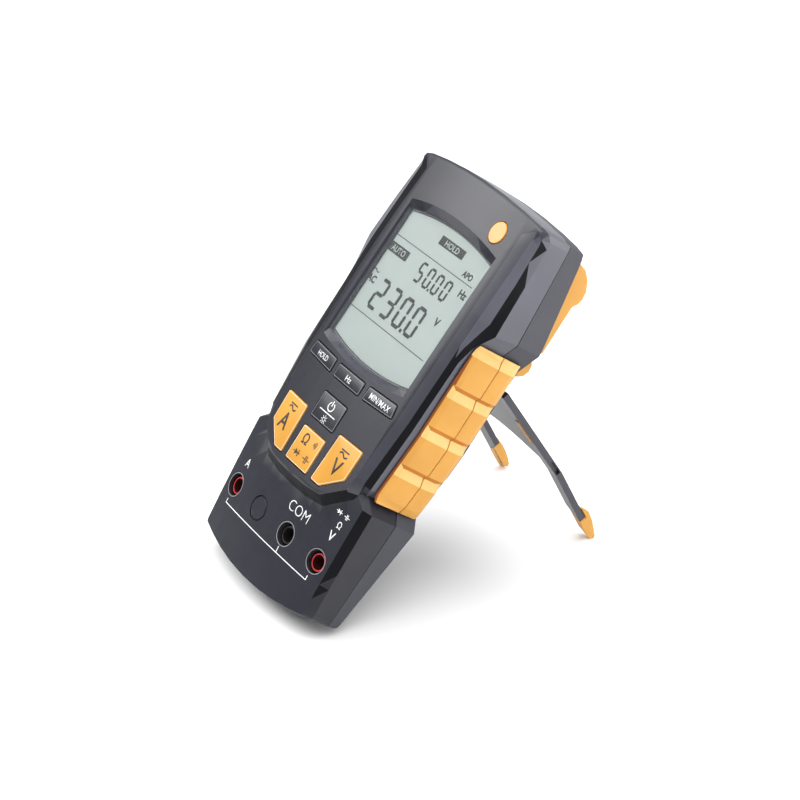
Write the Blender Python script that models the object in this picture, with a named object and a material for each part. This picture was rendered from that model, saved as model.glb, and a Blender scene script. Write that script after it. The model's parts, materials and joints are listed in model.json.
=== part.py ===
"""A handheld digital multimeter leaning on its rear stand.

Everything is modelled in the meter's own frame, in millimetres:
x runs across the face, y runs up the face from the lower end, z comes out of the face.
One empty tilts that frame into the standing pose, and one empty carries the stand.
"""
import math

import bmesh
import bpy
from mathutils import Matrix, Vector

MM = 0.001

# Case
LENGTH = 166.8
PARTING_Z = -20.0
SHELL_GAP = 0.3
WALL = 3.0
SIDE_DOME = 0.002
CROWN_START = 75.0
CROWN_RADIUS = 1190.0
LOW_FACE_Y = 49.0
LOW_FACE_DROP = 2.6
DOME_DEPTH = (-20.0, -8.0)
REAR_PROFILE = ((-5, -24.0), (5, -25.0), (50, -31.0), (72, -33.5), (128, -33.0), (163, -28.6), (170, -28.0))
REAR_FLAT_Z = -31.0
REAR_BEVEL = 0.9

# Display
LCD_HALF_WIDTH = 26.0
LCD_SIDE_Y = (91.5, 143.9)
LCD_SAG = 3.2
LCD_PLANE_Z = -2.3
LCD_PLANE_SLOPE = -0.0363
BEZEL_HALF_WIDTH = 26.5
BEZEL_SIDE_Y = (88.9, 147.0)
BEZEL_SAG = (2.7, 3.3)
WINDOW_THICKNESS = 1.1

# Keys
KEY_GAP = 0.35
KEY_PROUD = 0.25
KEY_TRAVEL = 0.8
KEY_FLANGE = 0.8
KEY_MAT_Z = (-10.7, -9.9)
DOME_TOP_Z = -9.3
STEM_BOTTOM_Z = -7.2

# Board
BOARD_Z = (-12.6, -11.0)

# Input sockets
SOCKET_Y = 23.5
SOCKET_X = {"current": -28.5, "common": 9.6, "voltage": 28.5}
BLANK_X = -9.6
BLANK_R = 4.2
SOCKET_HOLE_R = 4.95
LINER_R = (4.3, 4.75)
LINER_DEPTH = 16.0
SLEEVE_R = (2.75, 3.3)
CONTACT_R = (2.0, 2.5)
SLEEVE_TOP = 1.5
CONTACT_TOP = -7.2
LINER_FLOOR = -15.0

# Power
CELL_R = 5.15
CELL_LENGTH = 44.5
CELL_X = (-17.4, -6.8, 3.8)
CELL_Y = 47.0
CELL_Z = -23.0
FUSE_X = 16.4
FUSE_Y = (50.0, 88.0)
CLIP_Y = (52.5, 80.5)
CLIP_LENGTH = 5.0
TRAY = (-23.9, 41.0, 23.9, 94.0)
TRAY_Z = (-27.2, -15.6)
TRAY_WALL = 1.2
COVER = (-26.0, 38.0, 26.0, 101.0)
DOOR = (-24.4, 40.4, 24.4, 95.0)
COVER_THICKNESS = 1.8

# Badge
BADGE = (20.6, 154.4)
BADGE_SIZE = (7.0, 8.4)
BADGE_DEPTH = 0.9
BADGE_GAP = 0.3

# Fasteners
CASE_SCREWS = {"lower_left": (-30.8, 10.6), "lower_right": (30.8, 10.6),
               "upper_left": (-33.6, 139.0), "upper_right": (33.6, 139.0)}
COVER_SCREWS = {"left": (-18.0, 98.2), "right": (18.0, 98.2)}

# Grips
GRIP_Y = (53.2, 120.2)
GRIP_PITCH = 16.4
GRIP_FIRST_LIP = 117.6
GRIP_GROOVE = 1.3
GRIP_GAP = 0.3

# Stand
PIVOT = (107.2, -36.1)
STAND_OPEN = 69.5
KNEE = 54.9
KNEE_BEND = 5.0
LEG_X = (23.6, 29.8)
LEG_END = (76.2, 81.8)
FOOT_X = (25.2, 30.2)
BARREL_R = 2.3
PIN_R = 1.0
PIN_BORE_R = 1.25
REST_EDGE = (0.85, -22.5)
SOLE = (93.1, 0.5)


def radians(degrees):
    return degrees * math.pi / 180.0


def piecewise(points, at):
    """The height at one place along a line through the points."""
    for (x0, z0), (x1, z1) in zip(points, points[1:]):
        if at <= x1:
            return z0 + (z1 - z0) * (at - x0) / (x1 - x0)
    return points[-1][1]


def face_shift(x, y):
    """How far the upper face lies below its highest point."""
    past = max(0.0, y - CROWN_START)
    return -SIDE_DOME * x * x - past * past / (2 * CROWN_RADIUS)


def low_face_shift(x, y):
    """How far the socket face lies below the highest point of the upper face."""
    below = max(0.0, LOW_FACE_Y - y)
    return -SIDE_DOME * x * x - LOW_FACE_DROP - 0.07 * below - 0.0005 * below * below


def rear_z(y):
    return piecewise(REAR_PROFILE, y)


def lcd_z(y):
    return LCD_PLANE_Z + LCD_PLANE_SLOPE * (y - LCD_SIDE_Y[0])


# ---------------------------------------------------------------- scene tools

def clear_scene():
    for old in list(bpy.data.objects):
        bpy.data.objects.remove(old, do_unlink=True)


def material(name, colour, roughness=0.5, metallic=0.0):
    made = bpy.data.materials.new(name)
    made.use_nodes = True
    shader = made.node_tree.nodes["Principled BSDF"]
    shader.inputs["Base Color"].default_value = (*colour, 1.0)
    shader.inputs["Roughness"].default_value = roughness
    shader.inputs["Metallic"].default_value = metallic
    return made


def empty(name, parent=None, location=(0, 0, 0), tilt=0.0):
    made = bpy.data.objects.new(name, None)
    bpy.context.scene.collection.objects.link(made)
    made.parent = parent
    made.location = Vector(location) * MM
    made.rotation_euler.x = radians(tilt)
    return made


def mesh_object(name, bm):
    """One object from a bmesh in millimetres, with its faces pointing out."""
    bmesh.ops.recalc_face_normals(bm, faces=bm.faces)
    if bm.calc_volume(signed=True) < 0:
        bmesh.ops.reverse_faces(bm, faces=bm.faces)
    mesh = bpy.data.meshes.new(name)
    bm.to_mesh(mesh)
    bm.free()
    made = bpy.data.objects.new(name, mesh)
    bpy.context.scene.collection.objects.link(made)
    return made


def boolean(target, tool, operation):
    """Apply one boolean and drop the tool."""
    modifier = target.modifiers.new("cut", "BOOLEAN")
    modifier.operation = operation
    modifier.solver = "EXACT"
    modifier.object = tool
    bpy.context.view_layer.update()
    graph = bpy.context.evaluated_depsgraph_get()
    mesh = bpy.data.meshes.new_from_object(target.evaluated_get(graph))
    target.modifiers.clear()
    target.data = mesh
    bpy.data.objects.remove(tool, do_unlink=True)
    return target


def cut(target, *tools):
    for tool in tools:
        boolean(target, tool, "DIFFERENCE")
    return target


def join(target, *tools):
    for tool in tools:
        boolean(target, tool, "UNION")
    return target


def finish(made, look, parent, origin=(0, 0, 0), smooth=32.0):
    """Scale a part to metres about its origin, give it its material and hang it on its parent."""
    mesh = made.data
    bm = bmesh.new()
    bm.from_mesh(mesh)
    bmesh.ops.dissolve_limit(bm, angle_limit=radians(0.4), verts=bm.verts, edges=bm.edges)
    bmesh.ops.triangulate(bm, faces=bm.faces)
    bm.to_mesh(mesh)
    bm.free()
    mesh.transform(Matrix.Scale(MM, 4) @ Matrix.Translation(-Vector(origin)))
    made.location = Vector(origin) * MM
    made.parent = parent
    mesh.materials.clear()
    mesh.materials.append(look)
    mesh.shade_smooth()
    mesh.set_sharp_from_angle(angle=radians(smooth))
    return made


# ---------------------------------------------------------------- shape tools

def mirrored(half):
    """Close an outline given from its lower to its upper centre on the +x side."""
    other = [(-x, y) for x, y in reversed(half) if abs(x) > 1e-6]
    return list(half) + other


def circle(cx, cy, radius, count):
    step = 2 * math.pi / count
    return [(cx + radius * math.cos(i * step), cy + radius * math.sin(i * step)) for i in range(count)]


def box_outline(x0, y0, x1, y1):
    return [(x0, y0), (x1, y0), (x1, y1), (x0, y1)]


def rounded(outline, radius, steps=3):
    """Round every corner of a counter-clockwise outline."""
    made = []
    count = len(outline)
    for i, corner in enumerate(outline):
        here = Vector(corner)
        back = (Vector(outline[i - 1]) - here).normalized()
        ahead = (Vector(outline[(i + 1) % count]) - here).normalized()
        half_angle = back.angle(ahead) / 2
        reach = radius / math.tan(half_angle)
        start, end = here + back * reach, here + ahead * reach
        centre = here + (back + ahead).normalized() * radius / math.sin(half_angle)
        first = math.atan2(start.y - centre.y, start.x - centre.x)
        sweep = math.atan2(end.y - centre.y, end.x - centre.x) - first
        sweep = (sweep + math.pi) % (2 * math.pi) - math.pi
        for k in range(steps + 1):
            angle = first + sweep * k / steps
            made.append((centre.x + radius * math.cos(angle), centre.y + radius * math.sin(angle)))
    return made


def inset(outline, depth):
    """Move a counter-clockwise outline inwards (outwards where depth is negative)."""
    made = []
    count = len(outline)
    for i, corner in enumerate(outline):
        here = Vector(corner)
        before = (here - Vector(outline[i - 1])).normalized()
        after = (Vector(outline[(i + 1) % count]) - here).normalized()
        normal = Vector((-before.y - after.y, before.x + after.x)).normalized()
        across = max(0.35, normal.dot(Vector((-before.y, before.x))))
        moved = here + normal * depth / across
        made.append((moved.x, moved.y))
    return made


def scaled(outline, factor):
    cx = sum(x for x, _ in outline) / len(outline)
    cy = sum(y for _, y in outline) / len(outline)
    return [(cx + (x - cx) * factor, cy + (y - cy) * factor) for x, y in outline]


def at_height(outline, z):
    """Lift an outline to a height, which may be a number or one height for each point."""
    if isinstance(z, (int, float)):
        return [Vector((x, y, z)) for x, y in outline]
    return [Vector((x, y, height)) for (x, y), height in zip(outline, z)]


def loft(name, rings, closed_tube=False):
    """Skin a stack of rings with the same number of points, capped at both ends."""
    bm = bmesh.new()
    made = [[bm.verts.new(point) for point in ring] for ring in rings]
    pairs = list(zip(made, made[1:]))
    if closed_tube:
        pairs.append((made[-1], made[0]))
    for low, high in pairs:
        for i in range(len(low)):
            j = (i + 1) % len(low)
            bm.faces.new((low[i], low[j], high[j], high[i]))
    if not closed_tube:
        bm.faces.new(made[0])
        bm.faces.new(made[-1])
    return mesh_object(name, bm)


def prism(name, outline, z0, z1):
    return loft(name, [at_height(outline, z0), at_height(outline, z1)])


def box(name, low, high):
    return prism(name, box_outline(low[0], low[1], high[0], high[1]), low[2], high[2])


def lathe(name, profile, centre, count=24, axis="Z", hollow=False):
    """Turn (radius, height) points about an axis through the centre."""
    rings = []
    for radius, height in profile:
        ring = []
        for x, y in circle(0, 0, radius, count):
            if axis == "Z":
                ring.append(Vector(centre) + Vector((x, y, height)))
            elif axis == "Y":
                ring.append(Vector(centre) + Vector((x, height, -y)))
            else:
                ring.append(Vector(centre) + Vector((height, x, y)))
        rings.append(ring)
    return loft(name, rings, closed_tube=hollow)


def tube(name, radii, heights, centre, count=24, axis="Z"):
    inner, outer = radii
    low, high = heights
    profile = [(outer, low), (outer, high), (inner, high), (inner, low)]
    return lathe(name, profile, centre, count, axis, hollow=True)


def slab_along_x(name, profile, x0, x1):
    """Extrude an outline of (y, z) points along x."""
    return loft(name, [[Vector((x, y, z)) for y, z in profile] for x in (x0, x1)])


def slice_mesh(made, x_places, y_places):
    """Add edges across a mesh so that its wide faces can follow a curve."""
    bm = bmesh.new()
    bm.from_mesh(made.data)
    planes = [((x, 0, 0), (1, 0, 0)) for x in x_places] + [((0, y, 0), (0, 1, 0)) for y in y_places]
    for point, normal in planes:
        geometry = list(bm.verts) + list(bm.edges) + list(bm.faces)
        bmesh.ops.bisect_plane(bm, geom=geometry, dist=0.01, plane_co=point, plane_no=normal)
    bmesh.ops.triangulate(bm, faces=bm.faces)
    bm.to_mesh(made.data)
    bm.free()
    return made


def bend(made, shift, fade=None):
    """Move each vertex along z by shift(x, y), fading in between two heights."""
    for vertex in made.data.vertices:
        x, y, z = vertex.co
        weight = 1.0
        if fade:
            weight = min(1.0, max(0.0, (z - fade[0]) / (fade[1] - fade[0])))
        vertex.co.z = z + weight * shift(x, y)
    return made


def steps_between(low, high, pitch):
    count = max(1, round((high - low) / pitch))
    return [low + (high - low) * i / count for i in range(count + 1)]


def trim_below(made, point, normal):
    """Cut a mesh flat along a plane and keep the side that the normal points to."""
    bm = bmesh.new()
    bm.from_mesh(made.data)
    geometry = list(bm.verts) + list(bm.edges) + list(bm.faces)
    done = bmesh.ops.bisect_plane(bm, geom=geometry, dist=1e-6, plane_co=point, plane_no=normal,
                                  clear_inner=True)
    edges = [item for item in done["geom_cut"] if isinstance(item, bmesh.types.BMEdge)]
    bmesh.ops.holes_fill(bm, edges=edges)
    bmesh.ops.recalc_face_normals(bm, faces=bm.faces)
    bm.to_mesh(made.data)
    bm.free()
    return made


# ---------------------------------------------------------------- case outlines

def top_arc(x, back=0.0):
    return LENGTH - back - 3.0 * (x / 37.4) ** 2


def bottom_arc(x, back=0.0):
    return back + 5.2 * (abs(x) / 36.5) ** 2


def upper_rings():
    """Half outlines of the upper body from its face down to the parting plane, with heights."""
    foot = [(0, 38.8), (9.6, 39.0), (19.1, 40.3)]
    face = [(0, 42.3), (9.0, 42.5), (18.2, 43.7), (27.5, 51.3), (28.1, 57), (29.9, 83), (30.4, 108),
            (30.5, 116), (30.6, 126), (30.4, 143), (29.8, 158.6), (34.3, 162.3)]
    facet = foot + [(30.6, 48.8), (31.6, 57), (33.8, 83), (34.3, 108), (34.4, 115), (34.7, 126),
                    (34.6, 143), (34.5, 158.4), (36.3, 161.6)]
    chamfer = foot + [(30.6, 49.4), (31.9, 57), (34.1, 83), (34.6, 108), (35.7, 115.6), (38.9, 127),
                      (38.4, 143), (37.3, 158.4), (37.0, 160.6)]
    side = foot + [(31.0, 50.5), (33.9, 56), (36.0, 81), (36.3, 110), (36.9, 117), (41.3, 124.3),
                   (39.6, 144), (38.2, 158.6), (37.9, 161.3)]
    parting = foot + [(31.4, 51.0), (34.2, 56), (36.3, 81), (36.6, 110), (37.1, 116.6), (41.7, 125.2),
                      (40.0, 144), (38.6, 158.6), (38.3, 161.5)]
    backs = (1.1, 0.5, 0.15, 0.0, -0.2)
    corners = ((35.3, 1.1), (35.9, 0.6), (36.5, 0.3), (37.2, 0.0), (37.6, -0.2))
    ends = []
    for back, (corner_x, corner_back) in zip(backs, corners):
        points = [(corner_x, top_arc(corner_x, corner_back) - 0.35)]
        points += [(x, top_arc(x, back)) for x in (33.0, 24.0, 12.0, 0.0)]
        ends.append(points)
    heights = ([0.0] * 17,
               [-3.4] * 4 + [-1.3, -1.2, -1.1, -0.9, -0.7, -0.7, -0.6, -0.4] + [-0.35] * 5,
               [-6.0] * 4 + [-1.5, -1.4, -1.4, -1.6, -1.9, -1.9, -1.7, -1.4] + [-1.0] * 5,
               [-8.0] * 4 + [-2.9, -2.3, -2.6, -4.0, -4.8, -4.9, -4.8, -4.6] + [-2.6] * 5,
               [PARTING_Z] * 17)
    halves = [half + end for half, end in zip((face, facet, chamfer, side, parting), ends)]
    return halves, heights


def lower_rings():
    """Half outlines of the lower body from the socket face down to the parting plane."""
    rings = []
    for edge_x, corner, flare in ((34.6, 34.0, 0.0), (37.2, 36.0, 0.45), (37.8, 36.4, 0.75)):
        back = 0.55 if flare == 0.0 else 0.0
        bottom = [(x, bottom_arc(x, back)) for x in (0.0, 10.0, 19.0, 27.0, 32.0, corner)]
        bottom.append((corner + (edge_x - corner) * 0.75, bottom_arc(corner, back) + 0.9))
        side = [(edge_x, bottom_arc(corner, back) + 2.4), (edge_x + 1.3, 48.8)]
        step = [(31.4 + 3 * flare, 51.6 + 4 * flare), (27.0, 57.0), (0.0, 58.0)]
        rings.append(bottom + side + step)
    return rings, (0.0, -2.5, PARTING_Z)


def ring_heights(heights):
    """Heights for a mirrored outline, from the heights of its half."""
    return list(heights) + [height for height in reversed(heights[1:-1])]


def case_outline():
    """The whole case at the parting plane, counter-clockwise."""
    upper = upper_rings()[0][4]
    lower = lower_rings()[0][2]
    return mirrored(lower[:9] + [(34.0, 54.9)] + upper[4:])


def cavity_half():
    """The inside of the case wall at the parting plane, on the +x side."""
    lower = [(0, 3.0), (10, 3.4), (19, 4.4), (27, 5.8), (32, 7.0), (34.2, 8.4), (34.8, 10.0), (36.0, 47.6)]
    waist = [(31.0, 53.6), (31.2, 56.4), (33.3, 81.1), (33.6, 110.1), (34.1, 117.6)]
    upper = [(38.5, 125.8), (37.0, 143.7), (35.5, 158.4), (34.4, 161.0), (32.5, 161.9), (24, 162.8),
             (12, 163.7), (0, 164.0)]
    return lower, waist, upper


# ---------------------------------------------------------------- standing pose

def bent(along, out):
    """A place on the stand, from its length along the bent leg and its distance behind it."""
    past = max(0.0, along - KNEE)
    angle = radians(KNEE_BEND) if along > KNEE else 0.0
    straight = min(along, KNEE) + past * math.cos(angle) + out * math.sin(angle)
    return straight, out * math.cos(angle) - past * math.sin(angle)


def stand_point(along, out):
    """A point on the open stand, in the meter's (y, z)."""
    along, out = bent(along, out)
    angle = radians(STAND_OPEN)
    y = PIVOT[0] - along * math.cos(angle) + out * math.sin(angle)
    z = PIVOT[1] - along * math.sin(angle) - out * math.cos(angle)
    return y, z


def lean():
    """The tilt that puts the lower rear edge and the soles of the stand on one level."""
    y, z = stand_point(*SOLE)
    return math.degrees(math.atan2(REST_EDGE[1] - z, y - REST_EDGE[0]))


def up_direction(extra=0.0):
    """World up in the meter's frame, or in the stand's frame where extra is its opening."""
    angle = radians(lean() + extra)
    return Vector((0, math.sin(angle), math.cos(angle)))


# ---------------------------------------------------------------- case

def bend_rear(made):
    """Give a piece of the rear wall the slopes of the case's back."""
    for vertex in made.data.vertices:
        weight = min(1.0, max(0.0, (PARTING_Z - vertex.co.z) / 9.0))
        vertex.co.z += weight * (rear_z(vertex.co.y) - REAR_FLAT_Z)
    return made


def sliced_rear(made):
    return bend_rear(slice_mesh(made, (), [y for y, _ in REAR_PROFILE[1:-1]] + [28, 100, 145]))


def ring_wall(name, outline, depths, heights):
    """A closed band that follows an outline between two depths and two heights."""
    outer, inner = inset(outline, depths[0]), inset(outline, depths[1])
    low, high = heights
    return loft(name, [at_height(outer, low), at_height(outer, high), at_height(inner, high),
                       at_height(inner, low)], closed_tube=True)


def build_front_shell(frame, looks):
    halves, heights = upper_rings()
    rings = []
    for half, height in zip(halves, heights):
        rings.append(at_height(mirrored(half), ring_heights(height)))
    shell = loft("front_shell", rings)
    slice_mesh(shell, steps_between(-35, 35, 7), steps_between(44, 164, 12))
    bend(shell, face_shift, DOME_DEPTH)

    halves, heights = lower_rings()
    lower = loft("lower", [at_height(mirrored(half), z) for half, z in zip(halves, heights)])
    slice_mesh(lower, steps_between(-33, 33, 6.6), steps_between(6, 54, 6))
    join(shell, bend(lower, low_face_shift, DOME_DEPTH))

    lower, waist, upper = cavity_half()
    inner = mirrored([(0, 42.2), (9.4, 42.4), (18.1, 43.6), (29.0, 52.6)] + waist[1:] + upper)
    narrow = [(x * 0.86, 46 + (y - 46) * 0.97) for x, y in inner]
    hollow = loft("hollow", [at_height(inner, PARTING_Z - 1), at_height(inner, -7.4),
                             at_height(narrow, -2.5)])
    slice_mesh(hollow, steps_between(-28, 28, 7), steps_between(58, 154, 12))
    bend(hollow, face_shift, DOME_DEPTH)
    floor = box("display_floor", (-40, 87.2, -5.2), (40, 170, 6))
    slice_mesh(floor, steps_between(-35, 35, 7), steps_between(99, 159, 12))
    cut(hollow, bend(floor, face_shift))
    inner = mirrored(lower + [(31.0, 53.0), (0, 53.0)])
    narrow = [(x * 0.9, 3 + y * 0.94) for x, y in inner]
    low_hollow = loft("low_hollow", [at_height(inner, PARTING_Z - 1.5), at_height(inner, -6.6),
                                     at_height(narrow, -2.8)])
    slice_mesh(low_hollow, steps_between(-26, 26, 6.5), steps_between(9, 45, 9))
    bend(low_hollow, low_face_shift, DOME_DEPTH)
    cut(shell, join(hollow, low_hollow))

    for x, y in CASE_SCREWS.values():
        top = -9.6 if y < 50 else -7.8
        join(shell, lathe("post", [(4.15, PARTING_Z + 0.1), (4.15, top)], (x, y, 0), 22))
        cut(shell, lathe("thread", [(1.55, PARTING_Z - 1), (1.55, -10.5)], (x, y, 0), 16))
    cut(shell, *display_cutters())
    for outline in key_outlines().values():
        cut(shell, prism("well", inset(outline, -KEY_GAP), -6.5, 4))
    for x in SOCKET_X.values():
        cut(shell, lathe("hole", [(SOCKET_HOLE_R, -14), (SOCKET_HOLE_R, 0)], (x, SOCKET_Y, 0), 32))
    blank = tube("blank", (BLANK_R, BLANK_R + 0.6), (-0.7, 2.0), (BLANK_X, SOCKET_Y, 0), 32)
    cut(shell, bend(blank, low_face_shift))
    cut(shell, ring_wall("groove", case_outline(), (0.75, 2.25), (PARTING_Z - 1, PARTING_Z + 0.55)))
    cut(shell, badge_tool(BADGE_GAP, BADGE_DEPTH + BADGE_GAP))
    return finish(shell, looks["case"], frame, smooth=16.0)


def build_rear_shell(frame, looks):
    outline = case_outline()
    shell = loft("rear_shell", [at_height(inset(outline, REAR_BEVEL), REAR_FLAT_Z),
                                at_height(inset(outline, 0.1), REAR_FLAT_Z + REAR_BEVEL),
                                at_height(outline, PARTING_Z - SHELL_GAP)])
    sliced_rear(shell)
    lower, waist, upper = cavity_half()
    inner = mirrored(lower + waist + upper)
    narrow = [(x * 0.95, 84 + (y - 84) * 0.98) for x, y in inner]
    hollow = loft("hollow", [at_height(narrow, REAR_FLAT_Z + 2.4), at_height(inner, REAR_FLAT_Z + 4.0),
                             at_height(inner, PARTING_Z + 1)])
    cut(shell, sliced_rear(hollow))
    for x, y in CASE_SCREWS.values():
        join(shell, lathe("boss", [(4.3, rear_z(y) + 1.2), (4.3, PARTING_Z - SHELL_GAP)], (x, y, 0), 24))
        cut(shell, lathe("bore", [(1.7, -40), (1.7, PARTING_Z + 1)], (x, y, 0), 16))
        cut(shell, lathe("sink", [(3.1, -40), (3.1, rear_z(y) + 2.6)], (x, y, 0), 24))
    seat = prism("seat", inset(rounded(box_outline(*COVER), 2.0), -KEY_GAP), -40, REAR_FLAT_Z + 2.3)
    cut(shell, sliced_rear(seat))
    outline_under = inset(rounded(box_outline(*COVER), 2.0), -2.5)
    ledge = prism("ledge", outline_under, REAR_FLAT_Z + 2.3, REAR_FLAT_Z + 4.4)
    join(shell, sliced_rear(ledge))
    for x, y in COVER_SCREWS.values():
        join(shell, lathe("cover_post", [(2.7, -30.0), (2.7, -24.5)], (x, y, 0), 16))
        cut(shell, lathe("pilot", [(1.1, -40), (1.1, -25.5)], (x, y, 0), 12))
    cut(shell, prism("door", rounded(box_outline(*DOOR), 1.5), -40, -22))
    for side in (-1, 1):
        join(shell, hinge_lug(side))
    cut(shell, lathe("pin_hole", [(PIN_BORE_R, -30), (PIN_BORE_R, 30)], (0, *PIVOT), 16, "X"))
    cut(shell, ring_wall("groove", outline, (0.75, 2.25), (PARTING_Z - 1.3, PARTING_Z + 1)))
    trim_below(shell, (0, *REST_EDGE), up_direction())
    return finish(shell, looks["case"], frame, smooth=16.0)


def hinge_lug(side):
    """One ear on the back that carries an end of the stand's pin."""
    y, z = PIVOT
    profile = [(y - 4.2, -32.0), (y - 2.6, z + 0.4), (y - 1.9, z - 1.9), (y, z - 2.7), (y + 1.9, z - 1.9),
               (y + 2.6, z + 0.4), (y + 4.2, -32.0)]
    return slab_along_x("lug", profile, *sorted((side * 20.3, side * 24.3)))


def build_case_seal(frame, looks):
    seal = ring_wall("case_seal", case_outline(), (1.05, 1.95), (PARTING_Z - 1.0, PARTING_Z + 0.25))
    return finish(seal, looks["seal"], frame)


def badge_tool(grow, depth):
    """The plain badge's outline, sunk to a depth under the upper face."""
    x, y = BADGE
    w, h = BADGE_SIZE[0] / 2 + grow, BADGE_SIZE[1] / 2 + grow
    outline = [(x + w * a, y + h * b) for a, b in circle(0, 0, 1, 28)]
    top = 0.35 if grow == 0 else 2.0
    return bend(prism("badge", outline, -depth, top), face_shift)


def build_badge(frame, looks):
    badge = badge_tool(0.0, BADGE_DEPTH)
    return finish(badge, looks["badge"], frame)


# ---------------------------------------------------------------- display

def curved_window(half_width, side_y, sags, steps=6):
    """A display outline with straight sides and bowed lower and upper edges."""
    half = [(half_width * i / steps, side_y[0] - sags[0] * (1 - (i / steps) ** 2))
            for i in range(steps + 1)]
    half += [(half_width * i / steps, side_y[1] + sags[1] * (1 - (i / steps) ** 2))
             for i in range(steps, -1, -1)]
    return mirrored(half)


def lcd_outline(depth=0.0):
    outline = curved_window(LCD_HALF_WIDTH, LCD_SIDE_Y, (LCD_SAG, LCD_SAG))
    return inset(outline, depth) if depth else outline


def on_lcd_plane(outline, below):
    return at_height(outline, [lcd_z(y) - below for _, y in outline])


def display_cutters():
    visible = lcd_outline()
    bezel = curved_window(BEZEL_HALF_WIDTH, BEZEL_SIDE_Y, BEZEL_SAG)
    pocket = loft("pocket", [on_lcd_plane(visible, WINDOW_THICKNESS + SHELL_GAP), on_lcd_plane(visible, 0),
                             at_height(bezel, [face_shift(x, y) + 0.02 for x, y in bezel]),
                             at_height(bezel, 4.0)])
    return pocket, prism("opening", lcd_outline(0.8), -12, -2)


def plate_on_lcd_plane(name, depth, top, bottom):
    outline = lcd_outline(depth)
    return loft(name, [on_lcd_plane(outline, bottom), on_lcd_plane(outline, top)])


def build_display(frame, looks):
    finish(plate_on_lcd_plane("display_window", 0.15, 0.0, WINDOW_THICKNESS), looks["window"], frame)
    finish(plate_on_lcd_plane("lcd_module", 1.1, 1.45, 3.4), looks["lcd"], frame)
    strip = prism("display_strip", box_outline(-22.0, 93.4, 22.0, 95.4), BOARD_Z[1] + 0.3,
                  lcd_z(93.4) - 3.75)
    finish(strip, looks["strip"], frame)


# ---------------------------------------------------------------- keys

def key_outlines():
    """Counter-clockwise outlines of the seven keys."""
    range_key = [(11.0, 84.9), (10.7, 79.5), (27.6, 80.5), (26.7, 85.6)]
    big_key = [(11.1, 64.9), (10.1, 45.8), (15.5, 45.8), (24.6, 53.2), (25.0, 65.1)]
    outlines = {
        "key_min_max": range_key,
        "key_hold": [(-x, y) for x, y in reversed(range_key)],
        "key_frequency": [(-8.4, 79.4), (8.4, 79.4), (8.4, 84.6), (-8.4, 84.6)],
        "key_power": [(-7.5, 63.3), (7.5, 63.3), (7.5, 73.6), (-7.5, 73.6)],
        "key_resistance": [(-7.1, 45.7), (7.1, 45.7), (7.1, 59.4), (-7.1, 59.4)],
        "key_voltage": big_key,
        "key_current": [(-x, y) for x, y in reversed(big_key)],
    }
    return {name: rounded(outline, 0.7, 2) for name, outline in outlines.items()}


def build_keys(frame, looks):
    for name, outline in key_outlines().items():
        wide = inset(outline, -KEY_FLANGE)
        stem = scaled(outline, 0.35)
        rings = [at_height(stem, STEM_BOTTOM_Z), at_height(stem, -3.8), at_height(wide, -3.8),
                 at_height(wide, -2.85), at_height(outline, -2.85), at_height(outline, KEY_PROUD - 0.25),
                 at_height(inset(outline, 0.25), KEY_PROUD)]
        key = bend(loft(name, rings), face_shift)
        amber = name in ("key_voltage", "key_current", "key_resistance")
        centre = scaled(outline, 0.0)[0]
        finish(key, looks["amber_key" if amber else "grey_key"], frame, (*centre, 0.0))


def build_key_mat(frame, looks):
    mat = prism("key_mat", rounded(box_outline(-28.4, 44.6, 28.4, 86.6), 2.0), *KEY_MAT_Z)
    for outline in key_outlines().values():
        x, y = scaled(outline, 0.0)[0]
        profile = [(3.2, KEY_MAT_Z[0] + 0.2), (3.2, KEY_MAT_Z[1]), (2.3, DOME_TOP_Z)]
        join(mat, lathe("dome", profile, (x, y, 0), 14))
    return finish(mat, looks["silicone"], frame)


# ---------------------------------------------------------------- board and sockets

def build_board(frame, looks):
    board = prism("main_board", rounded(box_outline(-28.8, 16.0, 28.8, 151.0), 2.0), *BOARD_Z)
    for x in SOCKET_X.values():
        cut(board, lathe("hole", [(5.3, -20), (5.3, -5)], (x, SOCKET_Y, 0), 24))
    finish(board, looks["board"], frame)
    chip = prism("processor", rounded(box_outline(-7, 106, 7, 120), 0.6, 2), BOARD_Z[0] - 1.9,
                 BOARD_Z[0] - 0.3)
    finish(chip, looks["chip"], frame)
    buzzer = lathe("buzzer", [(6.0, BOARD_Z[0] - 4.0), (6.0, BOARD_Z[0] - 0.3)], (-18.0, 113.0, 0), 32)
    cut(buzzer, lathe("sound_hole", [(1.2, BOARD_Z[0] - 5), (1.2, BOARD_Z[0] - 2)], (-18.0, 113.0, 0), 12))
    finish(buzzer, looks["chip"], frame)


def build_sockets(frame, looks):
    inner, outer = LINER_R
    for name, x in SOCKET_X.items():
        centre = (x, SOCKET_Y, 0)
        profile = [(0.9, -LINER_DEPTH), (outer, -LINER_DEPTH), (outer, 0), (inner, 0),
                   (inner, LINER_FLOOR), (0.9, LINER_FLOOR)]
        liner = lathe("socket_" + name, profile, centre, 28, hollow=True)
        finish(bend(liner, low_face_shift), looks["liner"], frame)
        sleeve = tube("sleeve_" + name, SLEEVE_R, (LINER_FLOOR + 0.3, -SLEEVE_TOP), centre, 24)
        finish(bend(sleeve, low_face_shift), looks["black" if name == "common" else "red"], frame)
        bore, wall = CONTACT_R
        contact = lathe("contact_" + name, [(0.6, -17.4), (0.6, LINER_FLOOR + 0.3), (wall, LINER_FLOOR + 0.3),
                                            (wall, CONTACT_TOP), (bore, CONTACT_TOP), (bore, -13.9)],
                        centre, 20)
        finish(bend(contact, low_face_shift), looks["brass"], frame)


# ---------------------------------------------------------------- power

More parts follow.
